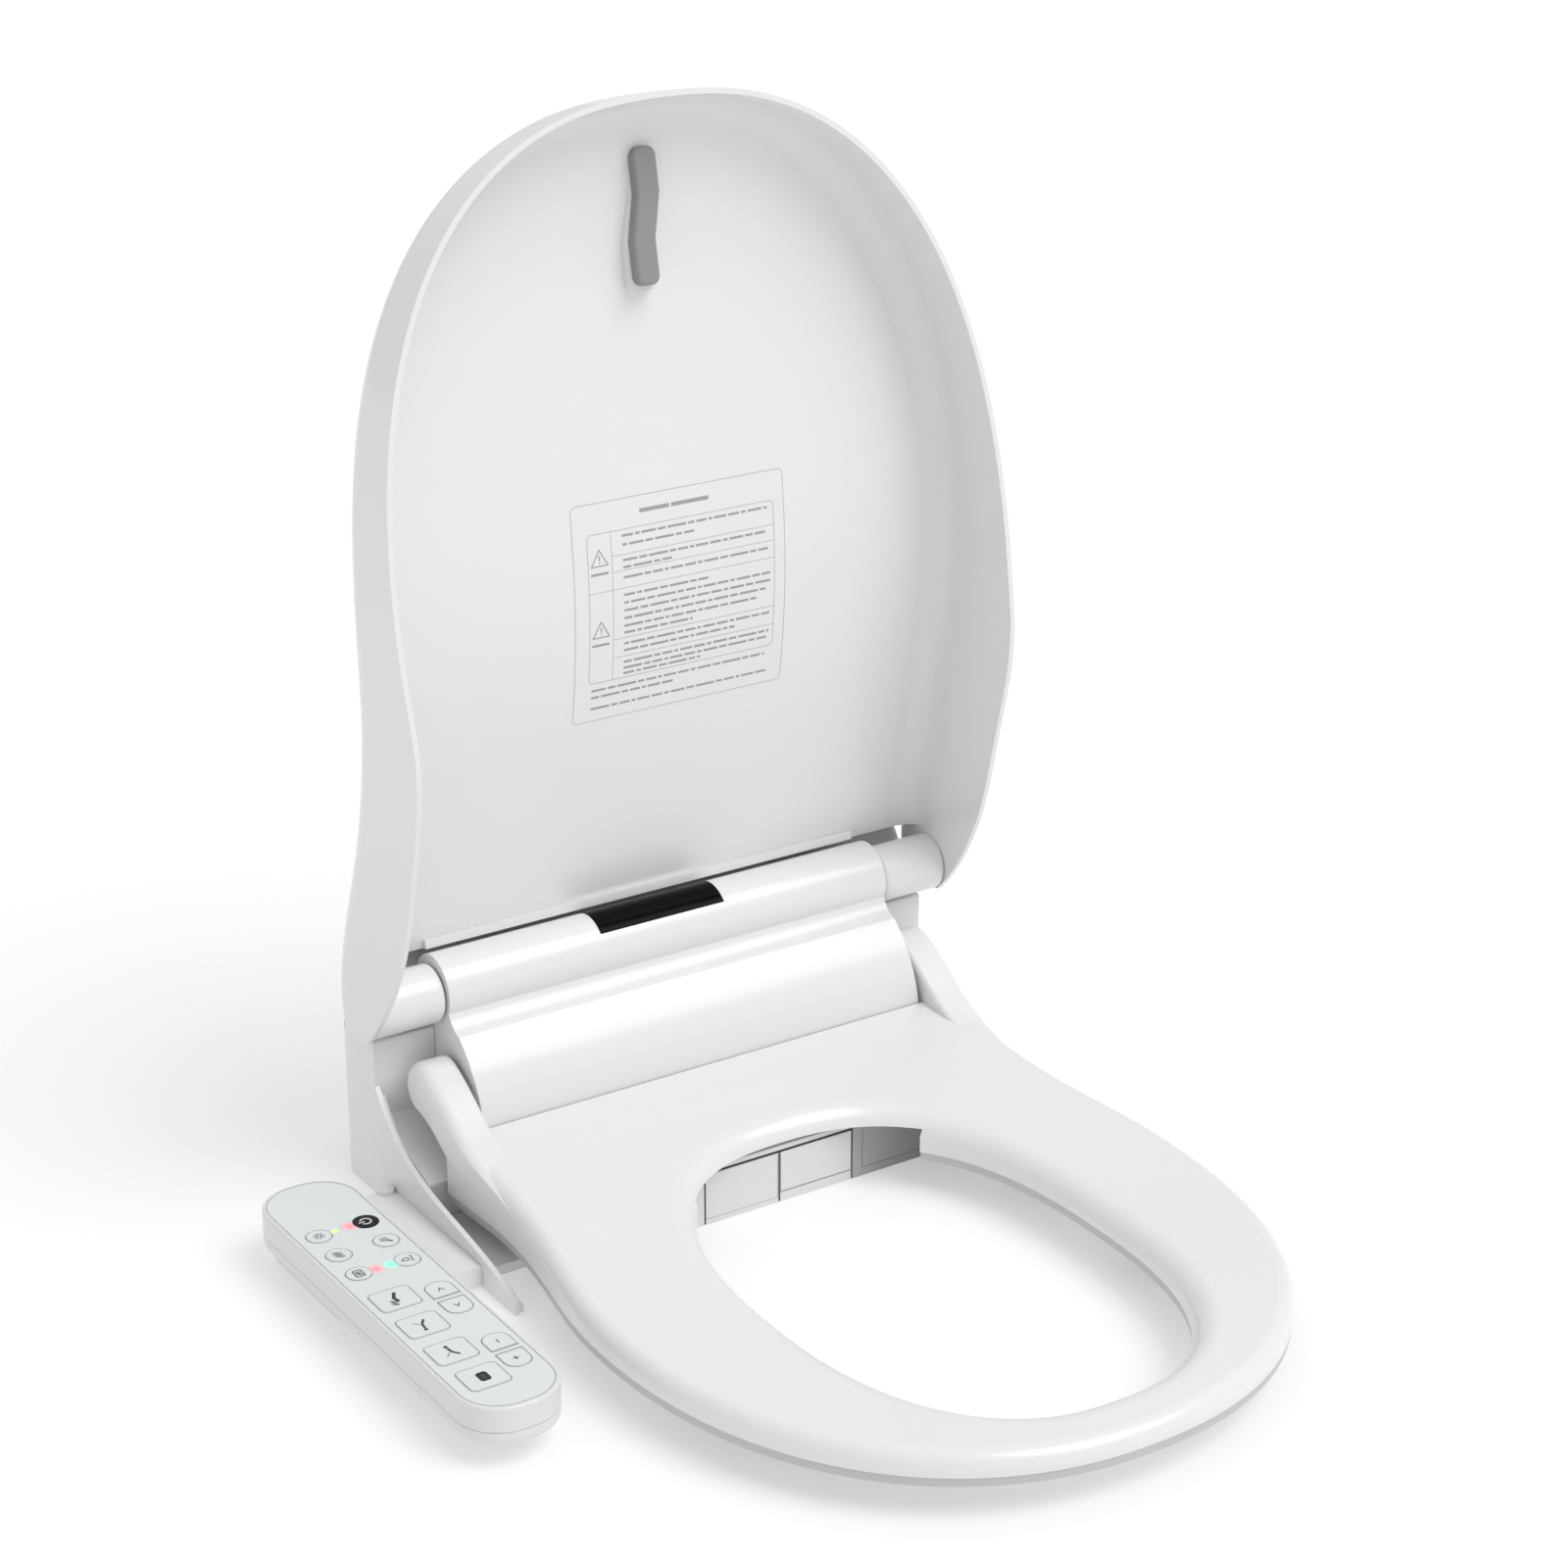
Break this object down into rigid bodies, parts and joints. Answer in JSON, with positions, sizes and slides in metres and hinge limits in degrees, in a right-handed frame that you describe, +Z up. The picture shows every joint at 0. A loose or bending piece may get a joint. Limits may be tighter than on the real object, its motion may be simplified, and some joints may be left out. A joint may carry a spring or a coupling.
{
  "type": "electric bidet seat",
  "caption": "Electric bidet toilet seat with a hinged lid and seat ring, side control panel with press keys, rear housing and retracting wash nozzles.",
  "frame": {"origin": "midway between the two mounting bolts, on the bowl's top face, which is the underside of the mounting plate", "axes": "+Z up, -Y towards the front of the bowl, +Y towards the wall, +X to the right of a person who faces the seat, the control panel on the -X side; stored with the lid open and the seat down"},
  "size_m": [0.4681, 0.529, 0.6046],
  "materials": {
    "cover": "gloss",
    "base_plastic": "fine satin",
    "lid_plastic": "gloss",
    "seat_plastic": "gloss",
    "seat_underside": "satin",
    "grey_rubber": "matte",
    "window": "high gloss, smoked",
    "nozzle_door": "satin",
    "nozzle": "gloss",
    "mechanism": "matte",
    "board": "satin",
    "tank": "matte",
    "motor_metal": "brushed",
    "heater_metal": "brushed",
    "brass": "machined",
    "foil": "satin foil",
    "damper": "satin",
    "screw": "zinc plated",
    "plate": "textured",
    "panel_case": "gloss",
    "panel_film": "fine satin film",
    "key_grey": "fine satin film",
    "key_black": "gloss",
    "led": "diffused lens",
    "gland": "matte",
    "button": "satin"
  },
  "bodies": {
    "base": {"housing_base": "base_plastic", "housing_top_cover": "cover", "side_cover_left": "cover", "side_cover_right": "cover", "sensor_window": "window", "mounting_plate": "plate", "nozzle_fascia": "base_plastic", "nozzle_cradle": "mechanism", "nozzle_motors": "motor_metal", "water_heater_tank": "tank", "main_board": "board", "power_module": "mechanism", "fan_housing": "mechanism", "fan_motor": "motor_metal", "dryer_duct": "mechanism", "dryer_heater": "heater_metal", "solenoid_valve": "mechanism", "inlet_fitting": "brass", "air_pump": "mechanism", "cord_gland": "gland", "lid_damper_right": "damper", "lid_damper_left": "damper", "seat_damper_right": "damper", "seat_damper_left": "damper", "case_screws": "screw", "panel_bracket": "cover", "panel_lower_case": "panel_case", "panel_upper_case": "panel_case", "panel_overlay": "panel_film", "panel_board": "board", "panel_leds": "led"},
    "seat": {"seat_top_shell": "seat_plastic", "seat_bottom_shell": "seat_underside", "seat_heater": "foil", "seat_bumpers": "grey_rubber"},
    "lid": {"lid_shell": "lid_plastic", "lid_bumper": "grey_rubber", "lid_barrel_right": "lid_plastic", "lid_barrel_left": "lid_plastic"},
    "wash_nozzle_rear": {"nozzle_rear": "nozzle"},
    "wash_nozzle_front": {"nozzle_front": "nozzle"},
    "door_rear": {"nozzle_door_rear": "nozzle_door"},
    "door_front": {"nozzle_door_front": "nozzle_door"},
    "dryer_door": {"dryer_flap": "nozzle_door"},
    "fan_rotor": {"fan_wheel": "mechanism"},
    "release": {"release_button": "button"},
    "key_power": {"key_power": "key_black"},
    "key_eco": {"key_eco": "key_grey"},
    "key_water_temp": {"key_water_temp": "key_grey"},
    "key_light": {"key_light": "key_grey"},
    "key_clean": {"key_clean": "key_grey"},
    "key_seat_temp": {"key_seat_temp": "key_grey"},
    "key_position_back": {"key_position_back": "key_grey"},
    "key_position_forward": {"key_position_forward": "key_grey"},
    "key_pressure_less": {"key_pressure_less": "key_grey"},
    "key_pressure_more": {"key_pressure_more": "key_grey"},
    "key_dry": {"key_dry": "key_grey"},
    "key_rear": {"key_rear": "key_grey"},
    "key_front": {"key_front": "key_grey"},
    "key_stop": {"key_stop": "key_grey"}
  },
  "joints": [
    {"name": "lid_hinge", "type": "hinge", "parent": "base", "child": "lid", "pos_m": [0, 0.002, 0.118], "axis": [-1, 0, 0], "range_deg": [-101.3, 0]},
    {"name": "seat_hinge", "type": "hinge", "parent": "base", "child": "seat", "pos_m": [0, -0.02, 0.072], "axis": [-1, 0, 0], "range_deg": [0, 95]},
    {"name": "nozzle_rear_slide", "type": "slide", "parent": "base", "child": "wash_nozzle_rear", "axis": [0, -0.9903, -0.1392], "range_m": [0, 0.1]},
    {"name": "nozzle_front_slide", "type": "slide", "parent": "base", "child": "wash_nozzle_front", "axis": [0, -0.9903, -0.1392], "range_m": [0, 0.1]},
    {"name": "door_rear_hinge", "type": "hinge", "parent": "base", "child": "door_rear", "pos_m": [-0.0248, -0.123, 0.03], "axis": [-1, 0, 0], "range_deg": [0, 92]},
    {"name": "door_front_hinge", "type": "hinge", "parent": "base", "child": "door_front", "pos_m": [0.0248, -0.123, 0.03], "axis": [-1, 0, 0], "range_deg": [0, 92]},
    {"name": "dryer_flap_hinge", "type": "hinge", "parent": "base", "child": "dryer_door", "pos_m": [0.077, -0.123, 0.03], "axis": [-1, 0, 0], "range_deg": [0, 36]},
    {"name": "fan_spin", "type": "hinge", "parent": "base", "child": "fan_rotor", "pos_m": [0.09, 0.015, 0.046], "axis": [1, 0, 0], "continuous": true},
    {"name": "release_push", "type": "slide", "parent": "base", "child": "release", "axis": [-1, 0, 0], "range_m": [0, 0.004], "stiffness_N_per_m": 600},
    {"name": "key_power_press", "type": "slide", "parent": "base", "child": "key_power", "axis": [0, 0, -1], "range_m": [0, 0.0005], "stiffness_N_per_m": 400, "springref_m": -0.0005},
    {"name": "key_eco_press", "type": "slide", "parent": "base", "child": "key_eco", "axis": [0, 0, -1], "range_m": [0, 0.0005], "stiffness_N_per_m": 400, "springref_m": -0.0005},
    {"name": "key_water_temp_press", "type": "slide", "parent": "base", "child": "key_water_temp", "axis": [0, 0, -1], "range_m": [0, 0.0005], "stiffness_N_per_m": 400, "springref_m": -0.0005},
    {"name": "key_light_press", "type": "slide", "parent": "base", "child": "key_light", "axis": [0, 0, -1], "range_m": [0, 0.0005], "stiffness_N_per_m": 400, "springref_m": -0.0005},
    {"name": "key_clean_press", "type": "slide", "parent": "base", "child": "key_clean", "axis": [0, 0, -1], "range_m": [0, 0.0005], "stiffness_N_per_m": 400, "springref_m": -0.0005},
    {"name": "key_seat_temp_press", "type": "slide", "parent": "base", "child": "key_seat_temp", "axis": [0, 0, -1], "range_m": [0, 0.0005], "stiffness_N_per_m": 400, "springref_m": -0.0005},
    {"name": "key_position_back_press", "type": "slide", "parent": "base", "child": "key_position_back", "axis": [0, 0, -1], "range_m": [0, 0.0005], "stiffness_N_per_m": 400, "springref_m": -0.0005},
    {"name": "key_position_forward_press", "type": "slide", "parent": "base", "child": "key_position_forward", "axis": [0, 0, -1], "range_m": [0, 0.0005], "stiffness_N_per_m": 400, "springref_m": -0.0005},
    {"name": "key_pressure_less_press", "type": "slide", "parent": "base", "child": "key_pressure_less", "axis": [0, 0, -1], "range_m": [0, 0.0005], "stiffness_N_per_m": 400, "springref_m": -0.0005},
    {"name": "key_pressure_more_press", "type": "slide", "parent": "base", "child": "key_pressure_more", "axis": [0, 0, -1], "range_m": [0, 0.0005], "stiffness_N_per_m": 400, "springref_m": -0.0005},
    {"name": "key_dry_press", "type": "slide", "parent": "base", "child": "key_dry", "axis": [0, 0, -1], "range_m": [0, 0.0005], "stiffness_N_per_m": 400, "springref_m": -0.0005},
    {"name": "key_rear_press", "type": "slide", "parent": "base", "child": "key_rear", "axis": [0, 0, -1], "range_m": [0, 0.0005], "stiffness_N_per_m": 400, "springref_m": -0.0005},
    {"name": "key_front_press", "type": "slide", "parent": "base", "child": "key_front", "axis": [0, 0, -1], "range_m": [0, 0.0005], "stiffness_N_per_m": 400, "springref_m": -0.0005},
    {"name": "key_stop_press", "type": "slide", "parent": "base", "child": "key_stop", "axis": [0, 0, -1], "range_m": [0, 0.0005], "stiffness_N_per_m": 400, "springref_m": -0.0005}
  ],
  "couplings": [
    {"joint": "door_rear_hinge", "follows": "nozzle_rear_slide", "rad_per_m": 15.708},
    {"joint": "door_front_hinge", "follows": "nozzle_front_slide", "rad_per_m": 15.708}
  ]
}
